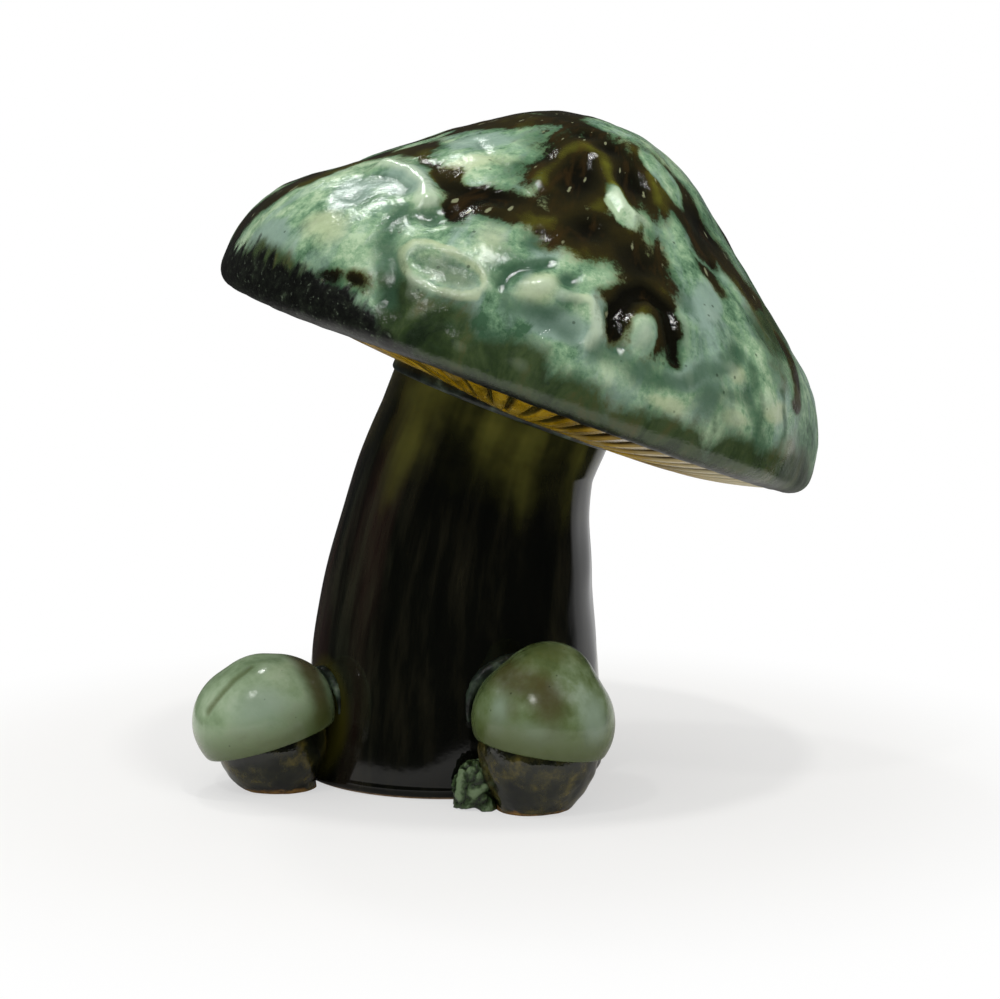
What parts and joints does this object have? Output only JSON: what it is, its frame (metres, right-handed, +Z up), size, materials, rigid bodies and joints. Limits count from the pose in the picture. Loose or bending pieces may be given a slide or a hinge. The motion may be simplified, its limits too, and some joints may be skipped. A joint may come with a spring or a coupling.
{
  "type": "ceramic mushroom ornament",
  "caption": "Glazed ceramic mushroom ornament: a leaning hollow stem under a tilted, thumb-pressed dome cap with gills, small button mushrooms and moss at its foot.",
  "frame": {"origin": "centre of the stem's foot ring, on the surface that it stands on", "axes": "+Z up; +X the way the stem bends and the cap tilts down; -Y the side that faces the viewer"},
  "size_m": [0.1264, 0.128, 0.1352],
  "materials": {
    "cap_glaze": "glossy mottled jade and olive-brown glaze",
    "gill_glaze": "glossy ochre glaze, dark in the grooves",
    "stem_glaze": "glossy near-black olive glaze",
    "bead_glaze": "glossy dark teal-green glaze",
    "button_glaze": "glossy jade glaze with brown breaks",
    "stalk_glaze": "glossy olive-brown glaze",
    "moss_glaze": "glossy rough jade glaze"
  },
  "bodies": {
    "root": {"cap_dome": "cap_glaze", "gill_disc": "gill_glaze", "stem": "stem_glaze", "cap_joint_bead": "bead_glaze", "left_button_cap": "button_glaze", "left_button_stem": "stalk_glaze", "left_joint_bead": "bead_glaze", "right_button_cap": "button_glaze", "right_button_stem": "stalk_glaze", "right_joint_bead": "bead_glaze", "moss_tuft": "moss_glaze"}
  },
  "joints": []
}
